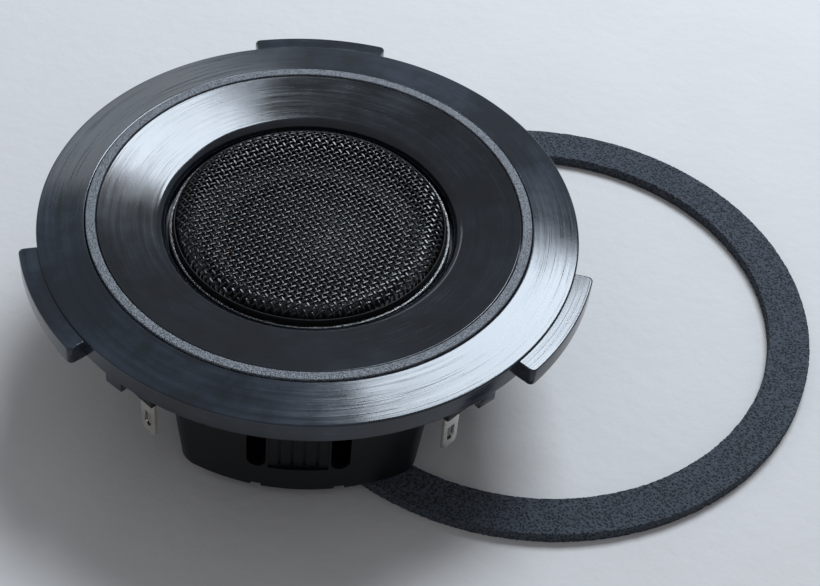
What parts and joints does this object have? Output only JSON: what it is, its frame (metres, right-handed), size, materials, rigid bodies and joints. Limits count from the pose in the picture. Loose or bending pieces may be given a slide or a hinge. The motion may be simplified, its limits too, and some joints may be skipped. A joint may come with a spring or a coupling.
{
  "type": "car tweeter",
  "caption": "Round car tweeter: domed wire grille in a shallow horn, flat bezel with bayonet tabs, flat-sided rear cup with blade terminals, and its loose foam ring gasket.",
  "frame": {"origin": "on the speaker's axis, in the plane of the flange seat, which is the lower rim of the bezel's skirt", "axes": "+Z along the speaker's axis towards the listener; +Y towards the single rear tab"},
  "size_m": [0.1015, 0.0746, 0.0228],
  "materials": {
    "turned_black": "fine turned grain, satin",
    "grained_grey": "fine sparkling grain",
    "horn_black": "fine turned grain, satin",
    "mesh_steel": "black coated woven wire",
    "gloss_black": "gloss",
    "coated_cloth": "coated cloth, matt",
    "moulded_black": "moulded, satin",
    "felt": "felt",
    "zinc_steel": "zinc plated",
    "magnet_nickel": "nickel plated",
    "foam": "open cell foam",
    "tinned_brass": "tinned",
    "copper": "enamelled copper",
    "silk": "coated silk",
    "aluminium": "foil"
  },
  "bodies": {
    "speaker": {"front_bezel": "turned_black", "trim_ring": "grained_grey", "waveguide": "horn_black", "grille_mesh": "mesh_steel", "grille_ring": "gloss_black", "surround": "coated_cloth", "diaphragm_frame": "moulded_black", "dome_damping_pad": "felt", "top_plate": "zinc_steel", "magnet": "magnet_nickel", "pot": "zinc_steel", "rear_housing": "moulded_black", "rear_cover": "moulded_black", "rear_foam_pad": "foam", "terminal_left": "tinned_brass", "terminal_right": "tinned_brass", "terminal_carrier_left": "moulded_black", "terminal_carrier_right": "moulded_black", "lead_wire_left": "copper", "lead_wire_right": "copper"},
    "diaphragm": {"dome": "silk", "coil_former": "aluminium", "voice_coil": "copper"},
    "gasket": {"foam_gasket": "foam"}
  },
  "joints": [
    {"name": "diaphragm_travel", "type": "slide", "parent": "speaker", "child": "diaphragm", "axis": [0, 0, 1], "range_m": [-0.0004, 0.0004], "stiffness_N_per_m": 100, "deforming": ["surround"]},
    {"name": "gasket_pull", "type": "slide", "parent": "speaker", "child": "gasket", "axis": [1, 0, 0], "range_m": [0, 0.045]}
  ]
}
